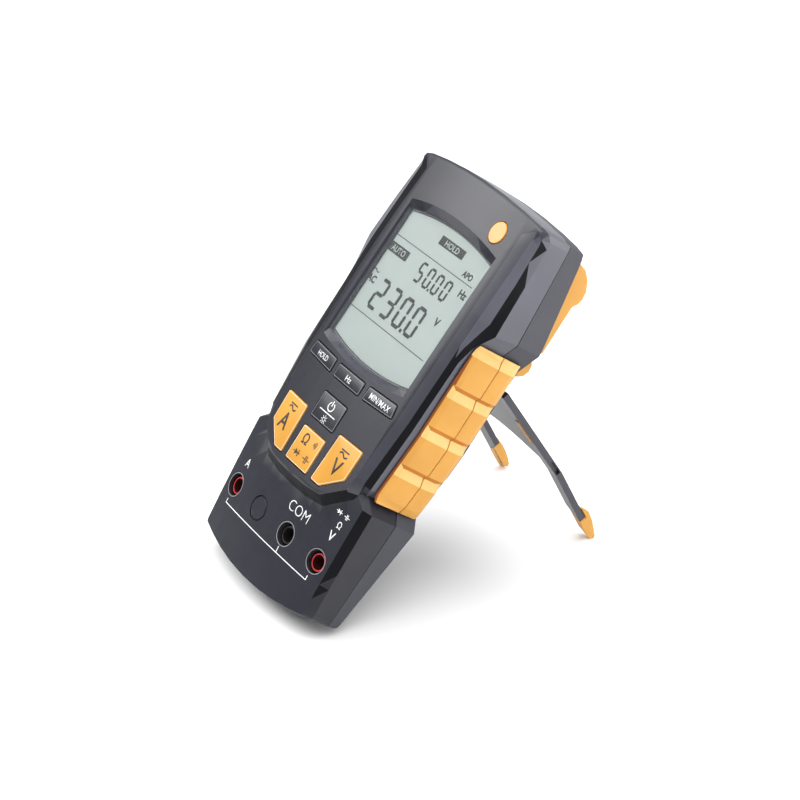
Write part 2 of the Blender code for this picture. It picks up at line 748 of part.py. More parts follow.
def wire(name, path, radius, sides=4):
    """A round wire along a path."""
    rings = []
    for i, point in enumerate(path):
        ahead = (path[min(i + 1, len(path) - 1)] - path[max(i - 1, 0)]).normalized()
        across = ahead.cross(Vector((0, 1, 0)))
        across = across.normalized() if across.length > 0.1 else Vector((1, 0, 0))
        up = ahead.cross(across)
        rings.append([point + across * a + up * b for a, b in circle(0, 0, radius, sides)])
    return loft(name, rings)


def battery_spring(centre_x, turns=3, per_turn=8):
    path = []
    for i in range(int(turns * per_turn) + 1):
        share = i / (turns * per_turn)
        angle = 2 * math.pi * turns * share
        radius = 3.9 - 1.9 * share
        path.append(Vector((centre_x + radius * math.cos(angle), 43.4 + 2.9 * share,
                            CELL_Z + radius * math.sin(angle))))
    return path


def build_power(frame, looks):
    x0, y0, x1, y1 = TRAY
    w = TRAY_WALL
    tray = prism("battery_tray", box_outline(*TRAY), *TRAY_Z)
    cut(tray, box("room", (x0 + w, y0 + w, TRAY_Z[0] - 1), (x1 - w, y1 - w, TRAY_Z[1] - w)))
    finish(tray, looks["tray"], frame)
    for i, x in enumerate(CELL_X):
        top = CELL_LENGTH - 0.8
        profile = [(CELL_R - 0.3, 0.0), (CELL_R, 0.3), (CELL_R, top - 0.4), (CELL_R - 0.4, top),
                   (1.9, top), (1.9, CELL_LENGTH)]
        finish(lathe(f"cell_{i + 1}", profile, (x, CELL_Y, CELL_Z), 20, "Y"), looks["cell"], frame)
        finish(wire(f"battery_spring_{i + 1}", battery_spring(x), 0.28), looks["steel"], frame)
    plate = box("contact_plate_lower", (x0 + 1.6, y0 + 1.5, -27.4), (9.4, y0 + 1.9, -18.4))
    finish(plate, looks["steel"], frame)
    plate = box("contact_plate_upper", (x0 + 1.6, y1 - 1.9, -27.4), (9.4, y1 - 1.5, -18.4))
    finish(plate, looks["steel"], frame)
    f0, f1 = FUSE_Y
    long = f1 - f0
    profile = [(4.9, 0), (5.15, 0.3), (5.15, 7.0), (4.7, 7.0), (4.7, long - 7), (5.15, long - 7),
               (5.15, long - 0.3), (4.9, long)]
    fuse = lathe("fuse", profile, (FUSE_X, f0, CELL_Z), 20, "Y")
    finish(fuse, looks["ceramic"], frame)
    for name, y in zip(("lower", "upper"), CLIP_Y):
        arc = [radians(-50 + 280 * i / 14) for i in range(15)]
        outer = [(FUSE_X + 5.95 * math.cos(a), CELL_Z + 5.95 * math.sin(a)) for a in arc]
        inner = [(FUSE_X + 5.45 * math.cos(a), CELL_Z + 5.45 * math.sin(a)) for a in reversed(arc)]
        rings = [[Vector((x, place, z)) for x, z in outer + inner] for place in (y, y + CLIP_LENGTH)]
        finish(loft("fuse_clip_" + name, rings), looks["brass"], frame)
    cover = prism("battery_cover", rounded(box_outline(*COVER), 2.0), REAR_FLAT_Z + 0.05,
                  REAR_FLAT_Z + COVER_THICKNESS)
    sliced_rear(cover)
    for x, y in COVER_SCREWS.values():
        cut(cover, lathe("bore", [(1.1, -40), (1.1, -25)], (x, y, 0), 12))
        cut(cover, lathe("sink", [(2.3, -40), (2.3, rear_z(y) + 1.2)], (x, y, 0), 16))
    finish(cover, looks["case"], frame)


# ---------------------------------------------------------------- grips and rear pads

def grip_inner_x(y):
    """The case's side, which the grip lies on."""
    return piecewise(((48.8, 39.2), (54.9, 34.3), (56, 34.1), (81, 36.1), (110, 36.5), (116.6, 37.1),
                      (125.2, 41.7)), y)


def grip_stations():
    """Places along the grip with the depth of the groove and of the rounded end there."""
    low, high = GRIP_Y
    stations = [(low, 0.0, 2.2), (low + 0.9, 0.0, 1.0), (low + 2.8, 0.0, 0.2)]
    lips = [GRIP_FIRST_LIP - GRIP_PITCH * i for i in range(1, 4)]
    for lip in reversed(lips):
        stations += [(lip - 3.4, 0.0, 0.0), (lip, GRIP_GROOVE, 0.0), (lip + 1.4, 0.0, 0.0)]
    stations += [(high - 5.6, 0.0, 0.0), (high - 3.0, 0.3, 0.6), (high - 1.2, 0.6, 1.5)]
    return stations


def grip_section(y, groove, end, side):
    """Outer points of the front half and of the rear half of one grip at a station."""
    inner = grip_inner_x(y) + GRIP_GAP
    waist = piecewise(((50, 34.0), (56, 34.1), (81, 36.1), (125, 36.5)), y)
    reach = waist + 4.4 - groove - end
    rim = max(inner + 0.5, waist + 1.1 - 0.3 * end)
    shoulder = max(rim + 0.4, waist + 2.3 - 0.8 * groove - 0.6 * end)
    reach = max(shoulder + 0.3, reach)
    back = max(inner + 0.9, reach - 2.2)
    front = [(inner, -7.7), (rim, -8.3), (shoulder, -10.3), (reach - 0.1, -19.85), (inner, -19.85)]
    rear = [(inner, -20.15), (reach - 0.1, -20.15), (reach, -26.4 + end), (back, -30.2 + end),
            (inner + 0.2, -31.4 + end), (inner, -30.9 + end)]
    return [[(side * x, z) for x, z in points] for points in (front, rear)]


def build_grips(frame, looks):
    for side, side_name in ((-1, "left"), (1, "right")):
        for half, half_name in ((0, "front"), (1, "rear")):
            rings = []
            for y, groove, end in grip_stations():
                points = grip_section(y, groove, end, side)[half]
                rings.append([Vector((x, y, z)) for x, z in points])
            finish(loft(f"grip_{side_name}_{half_name}", rings), looks["grip"], frame, smooth=20.0)


def build_rear_pads(frame, looks):
    """The raised rails and lugs on the case's back."""
    rail = [(125.8, -38.2), (126.6, -38.7), (145.6, -38.7), (147.2, -40.3), (149.6, -41.1), (152.6, -40.6),
            (156.6, -38.0), (159.2, -34.4), (160.2, -30.6), (160.2, rear_z(160.2) - 0.3)]
    rail += [(y, rear_z(y) - 0.3) for y in (145.0, 128.0, 125.8)]
    lug = [(114.4, rear_z(114.4) - 0.3), (114.4, -35.6), (115.6, -38.4), (118.0, -39.7), (121.0, -39.3),
           (121.8, -38.0), (121.8, rear_z(121.8) - 0.3)]
    for side, name in ((-1, "left"), (1, "right")):
        made = slab_along_x("rear_rail_" + name, rail, *sorted((side * 30.4, side * 36.2)))
        finish(made, looks["grip"], frame)
        made = slab_along_x("rear_lug_" + name, lug, *sorted((side * 29.4, side * 34.6)))
        finish(made, looks["grip"], frame)


# ---------------------------------------------------------------- stand

def leg_section(side, ends):
    """A leg's four corners, at one distance from the hinge inside and another outside."""
    made = []
    inner, outer = LEG_X
    corners = ((outer, ends[1], 1.9), (outer, ends[1], -0.7), (inner, ends[0], -0.45), (inner, ends[0], 1.9))
    for x, along, out in corners:
        straight, back = bent(along, out)
        made.append(Vector((side * x, -straight, -back)))
    return made


def stand_slab(name, profile, x0, x1, taper=None):
    """A slab across the stand from (length, distance behind) outlines, one for each of its two faces."""
    rings = []
    for x, outline in ((x0, profile), (x1, taper or profile)):
        places = [bent(along, out) for along, out in outline]
        rings.append([Vector((x, -straight, -back)) for straight, back in places])
    return loft(name, rings)


def build_stand(pivot, looks):
    inner, outer = LEG_X
    stand = tube("stand", (PIN_BORE_R, BARREL_R), (-19.8, 19.8), (0, 0, 0), 24, "X")
    edge = [(24.0 * i / 6, -43.4 - 0.0115 * (24.0 * i / 6) ** 2) for i in range(6, -1, -1)]
    half = [(0, -1.8), (19.4, -1.8), (19.4, -5.0), (24.0, -6.4)] + edge[:-1] + [(0, -43.4)]
    web = half + [(-x, y) for x, y in reversed(half[1:-1])]
    join(stand, prism("web", web, -1.1, 0.1))
    for side in (-1, 1):
        join(stand, loft("leg", [leg_section(side, ends) for ends in ((5.0, 5.0), (KNEE, KNEE), LEG_END)]))
        tongue = ((74.0, -0.3), (89.0, -0.2), (89.0, 1.2), (74.0, 1.2))
        join(stand, stand_slab("tongue", tongue, side * (FOOT_X[0] + 1.2), side * (outer - 1.4)))
        recess = ((46.6, -0.3), (54.0, -0.3), (54.0, 1.4), (46.6, 1.4))
        cut(stand, stand_slab("recess", recess, side * (outer - 1.2), side * (outer + 1)))
        groove = ((20.2, -3.0), (33.8, -3.0), (33.8, 0.5), (20.2, 0.5))
        cut(stand, stand_slab("groove", groove, side * 26.5, side * 29.1))
    cut(stand, lathe("bore", [(PIN_BORE_R, -25), (PIN_BORE_R, 25)], (0, 0, 0), 24, "X"))
    finish(stand, looks["stand"], pivot, smooth=20.0)

    up = up_direction(STAND_OPEN)
    outline = ((82.2, -0.8), (90.2, -0.75), (92.3, -0.5), (93.7, 0.5), (93.0, 1.9), (89.4, 2.9), (85.2, 3.8),
               (80.4, 4.2), (77.8, 3.4), (77.0, 2.25), (82.2, 2.25))
    lean_in = ((77.8, -0.5), (88.4, -0.4), (90.2, 0.0), (91.0, 0.9), (90.3, 1.8), (87.6, 2.5), (83.6, 3.0),
               (80.2, 3.1), (78.6, 2.9), (77.8, 2.3), (77.8, 2.2))
    for side, name in ((-1, "left"), (1, "right")):
        foot = stand_slab("foot_" + name, outline, side * FOOT_X[1], side * FOOT_X[0], lean_in)
        slot = ((75.0, -0.6), (89.3, -0.5), (89.3, 1.5), (75.0, 1.5))
        cut(foot, stand_slab("slot", slot, side * (FOOT_X[0] + 0.9), side * (outer - 1.1)))
        sole_y, sole_back = bent(*SOLE)
        trim_below(foot, (0, -sole_y, -sole_back), up)
        finish(foot, looks["grip"], pivot, smooth=24.0)
        pad = ((20.5, -0.95), (33.5, -0.95), (33.5, 0.2), (20.5, 0.2))
        finish(stand_slab("stand_pad_" + name, pad, side * 26.8, side * 28.8), looks["grip"], pivot)


def build_hinge_pin(frame, looks):
    pin = lathe("hinge_pin", [(PIN_R - 0.2, -24.6), (PIN_R, -24.3), (PIN_R, 24.3), (PIN_R - 0.2, 24.6)],
                (0, *PIVOT), 16, "X")
    finish(pin, looks["steel"], frame)


# ---------------------------------------------------------------- fasteners

def build_screws(frame, looks):
    for name, (x, y) in CASE_SCREWS.items():
        seat = rear_z(y) + 2.3
        profile = [(1.3, -12.0), (1.3, seat), (2.8, seat), (2.8, seat - 1.9), (2.3, seat - 2.2)]
        screw = lathe("case_screw_" + name, profile, (x, y, 0), 20)
        cut(screw, box("slot", (x - 2.0, y - 0.35, seat - 4), (x + 2.0, y + 0.35, seat - 1.3)))
        finish(screw, looks["steel"], frame)
    for name, (x, y) in COVER_SCREWS.items():
        seat = rear_z(y) + 0.9
        profile = [(0.8, -26.0), (0.8, seat), (2.0, seat), (2.0, seat - 0.8), (1.7, seat - 0.95)]
        screw = lathe("cover_screw_" + name, profile, (x, y, 0), 16)
        finish(screw, looks["steel"], frame)


# ---------------------------------------------------------------- assembly

def make_looks():
    return {
        "case": material("case_plastic", (0.075, 0.078, 0.105), 0.42),
        "seal": material("seal_rubber", (0.02, 0.02, 0.022), 0.8),
        "badge": material("badge_plastic", (0.62, 0.30, 0.06), 0.3),
        "window": material("window_plastic", (0.40, 0.46, 0.44), 0.15),
        "lcd": material("lcd_glass", (0.42, 0.49, 0.46), 0.2),
        "strip": material("contact_strip_silicone", (0.55, 0.40, 0.42), 0.6),
        "amber_key": material("amber_key_plastic", (0.72, 0.42, 0.09), 0.45),
        "grey_key": material("grey_key_plastic", (0.055, 0.057, 0.08), 0.45),
        "silicone": material("key_mat_silicone", (0.30, 0.31, 0.33), 0.7),
        "board": material("board_laminate", (0.03, 0.17, 0.08), 0.5),
        "chip": material("chip_epoxy", (0.02, 0.02, 0.02), 0.6),
        "liner": material("socket_liner", (0.03, 0.03, 0.035), 0.5),
        "red": material("sleeve_red", (0.45, 0.02, 0.02), 0.45),
        "black": material("sleeve_black", (0.01, 0.01, 0.01), 0.45),
        "brass": material("brass_contact", (0.75, 0.55, 0.25), 0.3, 1.0),
        "steel": material("plated_steel", (0.6, 0.6, 0.62), 0.3, 1.0),
        "tray": material("tray_plastic", (0.03, 0.03, 0.033), 0.6),
        "cell": material("cell_sleeve", (0.08, 0.2, 0.45), 0.35),
        "ceramic": material("fuse_ceramic", (0.8, 0.78, 0.72), 0.4),
        "grip": material("grip_elastomer", (0.82, 0.50, 0.13), 0.6),
        "stand": material("stand_plastic", (0.045, 0.048, 0.065), 0.45),
    }


def stand_on_floor(frame):
    """Put the centre of the assembly's box, at its lowest level, on the origin."""
    bpy.context.view_layer.update()
    corners = [obj.matrix_world @ vertex.co for obj in bpy.data.objects if obj.type == "MESH"
               for vertex in obj.data.vertices]
    lows = [min(point[i] for point in corners) for i in range(3)]
    highs = [max(point[i] for point in corners) for i in range(3)]
    frame.location = (-(lows[0] + highs[0]) / 2, -(lows[1] + highs[1]) / 2, -lows[2])


def main():
    clear_scene()
    looks = make_looks()
    frame = empty("meter_frame", tilt=lean())
    pivot = empty("stand_pivot", frame, (0, *PIVOT), STAND_OPEN)
    build_front_shell(frame, looks)
    build_rear_shell(frame, looks)
    build_case_seal(frame, looks)
    build_badge(frame, looks)
    build_display(frame, looks)
    build_keys(frame, looks)
    build_key_mat(frame, looks)
    build_board(frame, looks)
    build_sockets(frame, looks)
    build_power(frame, looks)
    build_grips(frame, looks)
    build_rear_pads(frame, looks)
    build_stand(pivot, looks)
    build_hinge_pin(frame, looks)
    build_screws(frame, looks)
    stand_on_floor(frame)


main()
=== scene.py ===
"""The looks of a handheld digital multimeter that leans on its rear stand."""

import json
import math

import bmesh
import bpy
from mathutils import Matrix, Vector


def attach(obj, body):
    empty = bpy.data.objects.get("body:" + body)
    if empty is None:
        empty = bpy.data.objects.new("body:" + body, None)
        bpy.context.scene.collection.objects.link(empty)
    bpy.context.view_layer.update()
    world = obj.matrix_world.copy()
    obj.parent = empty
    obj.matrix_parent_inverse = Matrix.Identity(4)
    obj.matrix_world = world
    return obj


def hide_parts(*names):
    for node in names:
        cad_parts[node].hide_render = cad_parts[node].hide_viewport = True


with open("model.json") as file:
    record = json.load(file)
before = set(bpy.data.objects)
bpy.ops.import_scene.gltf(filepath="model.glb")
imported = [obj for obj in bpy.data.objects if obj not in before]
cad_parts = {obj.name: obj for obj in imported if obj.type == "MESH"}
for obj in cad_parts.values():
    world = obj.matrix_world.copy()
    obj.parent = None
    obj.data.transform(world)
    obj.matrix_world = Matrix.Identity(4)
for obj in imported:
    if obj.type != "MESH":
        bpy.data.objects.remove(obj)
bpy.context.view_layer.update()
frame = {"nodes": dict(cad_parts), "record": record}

MM = 0.001
LEAN = math.radians(54.49934771780283)  # of the face from the floor, on the open stand
LOWER_END = (0, -0.074313, 0.012374)  # metres, where the meter's own origin stands
METER = Matrix.Translation(LOWER_END) @ Matrix.Rotation(LEAN, 4, "X")
UNMETER = METER.inverted()
BODIES = frame["record"]["behaviour"]["bodies"]
BODY_OF = {node: body for body, nodes in BODIES.items() for node in nodes}


# Heights over the key face, in millimetres. x runs to the meter's right and y from its lower end upwards.
CROWN = 0.002  # fall of the face over the square of the distance from its middle line
BEND_START, BEND_RADIUS = 75.0, 1190.0  # the upper face curves back from here
KEY_RISE = 0.25
LOW_START, LOW_STEP = 49.0, 2.6  # the socket face starts here, one step below the key face
LOW_SLOPE, LOW_CURVE = 0.07, 0.0005
GLASS_START, GLASS_DEPTH, GLASS_SLOPE = 91.5, 2.3, 0.0363
LCD_DEPTH = 1.45  # of the display module under the front of the glass


def face_z(x, y):
    past = max(0.0, y - BEND_START)
    return -CROWN * x * x - past * past / (2 * BEND_RADIUS)


def key_z(x, y):
    return face_z(x, y) + KEY_RISE


def low_z(x, y):
    below = max(0.0, LOW_START - y)
    return -CROWN * x * x - LOW_STEP - LOW_SLOPE * below - LOW_CURVE * below * below


def lcd_z(x, y):
    return -GLASS_DEPTH - GLASS_SLOPE * (y - GLASS_START) - LCD_DEPTH


# ---------------------------------------------------------------- materials

FINE_DETAIL, BROAD_DETAIL = 3.0, 2.0
BROADER = 22.0  # how much larger the tone's noise is than the relief's
TONE_START, TONE_END = 0.3, 0.7
RELIEF = 0.0002


def surface(name, low, high, rough=(0.4, 0.5), grain=900.0, bump=0.05, metallic=0.0, coat=0.0,
            alpha=1.0, shine=0.5):
    """Plastic, rubber or metal whose tone, gloss and relief vary with a fine noise."""
    made = bpy.data.materials.new(name)
    made.use_nodes = True
    tree = made.node_tree
    shader = tree.nodes["Principled BSDF"]
    place = tree.nodes.new("ShaderNodeTexCoord")
    noise = tree.nodes.new("ShaderNodeTexNoise")
    noise.inputs["Scale"].default_value = grain
    noise.inputs["Detail"].default_value = FINE_DETAIL
    tree.links.new(place.outputs["Object"], noise.inputs["Vector"])
    broad = tree.nodes.new("ShaderNodeTexNoise")
    broad.inputs["Scale"].default_value = grain / BROADER
    broad.inputs["Detail"].default_value = BROAD_DETAIL
    tree.links.new(place.outputs["Object"], broad.inputs["Vector"])
    ramp = tree.nodes.new("ShaderNodeValToRGB")
    ramp.color_ramp.elements[0].position = TONE_START
    ramp.color_ramp.elements[1].position = TONE_END
    ramp.color_ramp.elements[0].color = (*low, 1.0)
    ramp.color_ramp.elements[1].color = (*high, 1.0)
    tree.links.new(broad.outputs["Fac"], ramp.inputs["Fac"])
    tree.links.new(ramp.outputs["Color"], shader.inputs["Base Color"])
    gloss = tree.nodes.new("ShaderNodeMapRange")
    gloss.inputs["To Min"].default_value = rough[0]
    gloss.inputs["To Max"].default_value = rough[1]
    tree.links.new(noise.outputs["Fac"], gloss.inputs["Value"])
    tree.links.new(gloss.outputs["Result"], shader.inputs["Roughness"])
    relief = tree.nodes.new("ShaderNodeBump")
    relief.inputs["Strength"].default_value = bump
    relief.inputs["Distance"].default_value = RELIEF
    tree.links.new(noise.outputs["Fac"], relief.inputs["Height"])
    tree.links.new(relief.outputs["Normal"], shader.inputs["Normal"])
    shader.inputs["Metallic"].default_value = metallic
    shader.inputs["Coat Weight"].default_value = coat
    shader.inputs["Specular IOR Level"].default_value = shine
    shader.inputs["Alpha"].default_value = alpha
    return made


# The case and the grips are each one material in the object. Here each has several looks, laid on by zone,
# because the photographed shading of their facets is painted in: case_* and grip_*.
LOOK = {
    "face": surface("case_face", (0.014, 0.0145, 0.022), (0.017, 0.0175, 0.026), (0.34, 0.42), 1500,
                    0.08, shine=0.4),
    "edge": surface("case_edge", (0.030, 0.031, 0.042), (0.036, 0.037, 0.050), (0.30, 0.38), 1500, 0.05,
                    shine=0.5),
    "chamfer": surface("case_chamfer", (0.003, 0.003, 0.005), (0.005, 0.005, 0.007), (0.5, 0.6), 1500, 0.05,
                       shine=0.12),
    "side": surface("case_side", (0.060, 0.061, 0.080), (0.070, 0.072, 0.094), (0.34, 0.42), 1500, 0.08,
                    shine=0.5),
    "low_side": surface("case_low_side", (0.014, 0.0145, 0.021), (0.018, 0.0185, 0.026), (0.36, 0.44),
                        1500, 0.08, shine=0.35),
    "low_face": surface("case_low_face", (0.011, 0.0115, 0.019), (0.014, 0.0145, 0.023), (0.40, 0.48),
                        1500, 0.08, shine=0.3),
    "rear": surface("case_rear", (0.026, 0.027, 0.038), (0.032, 0.033, 0.045), (0.45, 0.55), 1300, 0.15),
    "seal": surface("seal_look", (0.010, 0.010, 0.012), (0.014, 0.014, 0.016), (0.7, 0.8), 900, 0.1),
    "grip": surface("grip_look", (0.53, 0.255, 0.042), (0.60, 0.295, 0.054), (0.45, 0.58), 1300, 0.10,
                    shine=0.35),
    "grip_light": surface("grip_light_look", (0.66, 0.40, 0.12), (0.72, 0.45, 0.15), (0.45, 0.58), 1300, 0.10,
                          shine=0.35),
    "grip_deep": surface("grip_deep_look", (0.20, 0.055, 0.012), (0.25, 0.070, 0.016), (0.55, 0.65),
                         1300, 0.1, shine=0.2),
    "grip_shade": surface("grip_shade_look", (0.42, 0.15, 0.018), (0.48, 0.18, 0.022), (0.5, 0.6), 1300, 0.1,
                          shine=0.2),
    "amber": surface("amber_look", (0.52, 0.245, 0.028), (0.58, 0.285, 0.040), (0.38, 0.48), 1300, 0.05,
                     shine=0.4),
    "grey": surface("grey_key_look", (0.014, 0.0145, 0.021), (0.018, 0.0185, 0.026), (0.32, 0.4), 1300, 0.06,
                    shine=0.5),
    "stand": surface("stand_look", (0.024, 0.025, 0.036), (0.031, 0.032, 0.044), (0.35, 0.45), 1200, 0.08),
    "lcd": surface("lcd_look", (0.27, 0.315, 0.30), (0.30, 0.345, 0.33), (0.35, 0.45), 600, 0.0, shine=0.12),
    "window": surface("window_look", (0.50, 0.54, 0.54), (0.55, 0.59, 0.59), (0.24, 0.30), 900, 0.0,
                      alpha=0.05),
    "badge": surface("badge_look", (0.62, 0.22, 0.03), (0.85, 0.48, 0.10), (0.22, 0.30), 260, 0.0,
                     coat=0.1, shine=0.3),
    "liner": surface("liner_look", (0.012, 0.012, 0.015), (0.018, 0.018, 0.022), (0.35, 0.45), 1300, 0.05),
    # A painted highlight on the socket liners' front rims.
    "rim": surface("rim_look", (0.16, 0.16, 0.18), (0.20, 0.20, 0.22), (0.3, 0.4), 1300, 0.03),
    "red": surface("red_look", (0.48, 0.020, 0.020), (0.58, 0.030, 0.028), (0.35, 0.45), 1300, 0.03),
    # Painted shade on the red sleeves' inner walls.
    "red_inside_shade": surface("red_inside_look", (0.035, 0.003, 0.003), (0.05, 0.004, 0.004), (0.5, 0.6),
                          1300, 0.03),
    "black": surface("black_look", (0.010, 0.010, 0.011), (0.015, 0.015, 0.016), (0.3, 0.4), 1300, 0.03),
    "brass": surface("brass_look", (0.60, 0.44, 0.22), (0.70, 0.52, 0.28), (0.25, 0.35), 1300, 0.03,
                     metallic=1.0),
    "steel": surface("steel_look", (0.52, 0.52, 0.54), (0.62, 0.62, 0.64), (0.25, 0.4), 1500, 0.05,
                     metallic=1.0),
    "white_ink": surface("white_ink", (0.74, 0.74, 0.76), (0.82, 0.82, 0.84), (0.5, 0.6), 2500, 0.02),
    "dark_ink": surface("dark_ink", (0.020, 0.016, 0.012), (0.028, 0.022, 0.018), (0.5, 0.6), 2500, 0.02),
    "segment": surface("segment_look", (0.010, 0.013, 0.012), (0.014, 0.017, 0.016), (0.5, 0.6), 900, 0.0,
                       shine=0.03),
    # Painted highlights along the rounded edges of the amber and the grey keys.
    "amber_key_edge_highlight": surface("amber_key_edge_highlight", (0.62, 0.58, 0.48), (0.72, 0.68, 0.56), (0.45, 0.55), 2500, 0.02),
    "grey_key_edge_highlight": surface("grey_key_edge_highlight", (0.16, 0.16, 0.19), (0.21, 0.21, 0.24), (0.45, 0.55), 2500, 0.02),
}


# ---------------------------------------------------------------- pieces

WELD = 2e-6
FLAT_ANGLE = math.radians(0.6)
SHARP_FACET, SHARP_ROUNDED = math.radians(9), math.radians(60)
FLAT_WEIGHT = 80


def skin(node, look, width=0.2, segments=2, angle=28.0, zones=None):
    """The seen surface of one CAD node: its own mesh, with rounded edges unless width is 0.

    zones is the looks' names and a function of a face's centre and normal, and its least distance from
    the middle line, in the meter's own frame and millimetres. It gives one of the names, or its index.
    """
    source = frame["nodes"][node]
    bm = bmesh.new()
    bm.from_mesh(source.data)
    bm.transform(source.matrix_world)
    bmesh.ops.remove_doubles(bm, verts=bm.verts, dist=WELD)
    if width > 0:
        bmesh.ops.dissolve_limit(bm, angle_limit=FLAT_ANGLE, verts=bm.verts, edges=bm.edges)
    mesh = bpy.data.meshes.new("look_" + node)
    names = [look] if zones is None else list(zones[0])
    for name in names:
        mesh.materials.append(LOOK[name])
    if zones is not None:
        for face in bm.faces:
            centre = UNMETER @ face.calc_center_median() / MM
            normal = UNMETER.to_3x3() @ face.normal
            reach = min(abs((UNMETER @ vertex.co).x) for vertex in face.verts) / MM
            zone = zones[1](centre, normal, reach)
            face.material_index = zone if isinstance(zone, int) else names.index(zone)
    bm.to_mesh(mesh)
    bm.free()
    made = bpy.data.objects.new("look_" + node, mesh)
    bpy.context.scene.collection.objects.link(made)
    mesh.shade_smooth()
    mesh.set_sharp_from_angle(angle=SHARP_FACET if width == 0 else SHARP_ROUNDED)
    if width == 0:
        even = made.modifiers.new("even", "WEIGHTED_NORMAL")
        even.keep_sharp = True
        even.weight = FLAT_WEIGHT
    if width > 0:
        bevel = made.modifiers.new("rounded", "BEVEL")
        bevel.width = width * MM
        bevel.segments = segments
        bevel.limit_method = "ANGLE"
        bevel.angle_limit = math.radians(angle)
        bevel.harden_normals = True
        bevel.miter_outer = "MITER_ARC"
    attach(made, BODY_OF[node])
    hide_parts(node)
    return made


def prisms(name, outlines, look, body, height, lift=0.03, thick=0.05):
    """Thin raised shapes from flat outlines in millimetres, laid on a curved face."""
    bm = bmesh.new()
    for outline in outlines:
        low = [bm.verts.new(Vector((x, y, height(x, y) + lift - thick)) * MM) for x, y in outline]
        high = [bm.verts.new(Vector((x, y, height(x, y) + lift)) * MM) for x, y in outline]
        bm.faces.new(high)
        bm.faces.new(list(reversed(low)))
        for i in range(len(outline)):
            j = (i + 1) % len(outline)
            bm.faces.new((low[i], low[j], high[j], high[i]))
    bmesh.ops.recalc_face_normals(bm, faces=bm.faces)
    bm.transform(METER)
    mesh = bpy.data.meshes.new(name)
    bm.to_mesh(mesh)
    bm.free()
    mesh.materials.append(LOOK[look])
    made = bpy.data.objects.new(name, mesh)
    bpy.context.scene.collection.objects.link(made)
    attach(made, body)
    return made


STROKE_STEP = 2.5  # about how long a quad is, so that a stroke follows the curved face


def stroke(points, width):
    """Quads along a line of points, each a little longer than its piece so that they meet at corners."""
    quads = []
    pairs = []
    for (x0, y0), (x1, y1) in zip(points, points[1:]):
        count = max(1, round(math.hypot(x1 - x0, y1 - y0) / STROKE_STEP))
        for i in range(count):
            a, b = i / count, (i + 1) / count
            pairs.append(((x0 + (x1 - x0) * a, y0 + (y1 - y0) * a), (x0 + (x1 - x0) * b, y0 + (y1 - y0) * b)))
    for (x0, y0), (x1, y1) in pairs:
        length = math.hypot(x1 - x0, y1 - y0)
        nx, ny = -(y1 - y0) / length * width / 2, (x1 - x0) / length * width / 2
        ex, ey = (x1 - x0) / length * width / 8, (y1 - y0) / length * width / 8
        quads.append([(x0 - nx - ex, y0 - ny - ey), (x1 - nx + ex, y1 - ny + ey),
                      (x1 + nx + ex, y1 + ny + ey), (x0 + nx - ex, y0 + ny - ey)])
    return quads


def arc(cx, cy, radius, start, end, count=14):
    """Points on a circle between two angles in degrees."""
    return [(cx + radius * math.cos(math.radians(start + (end - start) * i / count)),
             cy + radius * math.sin(math.radians(start + (end - start) * i / count)))
            for i in range(count + 1)]


def tilde(cx, cy, width, height, count=12):
    """Points on one full wave."""
    return [(cx + width * (i / count - 0.5), cy + height / 2 * math.sin(2 * math.pi * i / count))
            for i in range(count + 1)]


LETTER_THICKNESS = 0.04 * MM


def lettering(name, text, x, y, cap, look, body, height, narrow=1.0, weight=0.0, lift=0.03):
    """Raised letters centred on a place, cap millimetres tall."""
    curve = bpy.data.curves.new(name, "FONT")
    curve.body = text
    curve.size = 1.0
    curve.align_x = "CENTER"
    curve.offset = weight
    curve.resolution_u = 3
    holder = bpy.data.objects.new(name + "_curve", curve)
    bpy.context.scene.collection.objects.link(holder)
    bpy.context.view_layer.update()
    graph = bpy.context.evaluated_depsgraph_get()
    mesh = bpy.data.meshes.new_from_object(holder.evaluated_get(graph))
    bpy.data.objects.remove(holder, do_unlink=True)
    mesh.name = name
    tall = max(v.co.y for v in mesh.vertices)
    low = min(v.co.y for v in mesh.vertices)
    size = cap / (tall - low)
    for vertex in mesh.vertices:
        px = x + vertex.co.x * size * narrow
        py = y + (vertex.co.y - (tall + low) / 2) * size
        vertex.co = METER @ (Vector((px, py, height(px, py) + lift)) * MM)
    mesh.materials.clear()
    mesh.materials.append(LOOK[look])
    made = bpy.data.objects.new(name, mesh)
    bpy.context.scene.collection.objects.link(made)
    solid = made.modifiers.new("thickness", "SOLIDIFY")
    solid.thickness = LETTER_THICKNESS
    solid.offset = -1.0
    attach(made, body)
    return made


# ---------------------------------------------------------------- case

# Half widths of the front shell's facets: pairs of a place along the meter and a distance from its middle.
FACE_EDGE = ((51.3, 27.5), (57, 28.1), (83, 29.9), (108, 30.4), (126, 30.6), (143, 30.4), (158.6, 29.8))
FACET_EDGE = ((48.8, 30.6), (57, 31.6), (83, 33.8), (108, 34.3), (126, 34.7), (158.4, 34.5), (161.6, 36.3))
FLARE_EDGE = ((49.4, 30.6), (57, 31.9), (83, 34.1), (108, 34.6), (115.6, 35.7), (127, 38.9), (143, 38.4),
              (160.6, 37.0))
SIDE_EDGE = ((50.5, 31.0), (56, 33.9), (81, 36.0), (110, 36.3), (117, 36.9), (124.3, 41.3), (144, 39.6),
             (158.6, 38.2))


def along(points, at):
    """The width of the case at one place along it."""
    for (y0, x0), (y1, x1) in zip(points, points[1:]):
        if at <= y1:
            return x0 + (x1 - x0) * (at - y0) / (y1 - y0)
    return points[-1][1]


SIDE_TOP = -9.0  # faces lower than this are the case's sides
STEEP, SLOPED, LEVEL = 0.12, 0.3, 0.9  # how much a normal faces forward
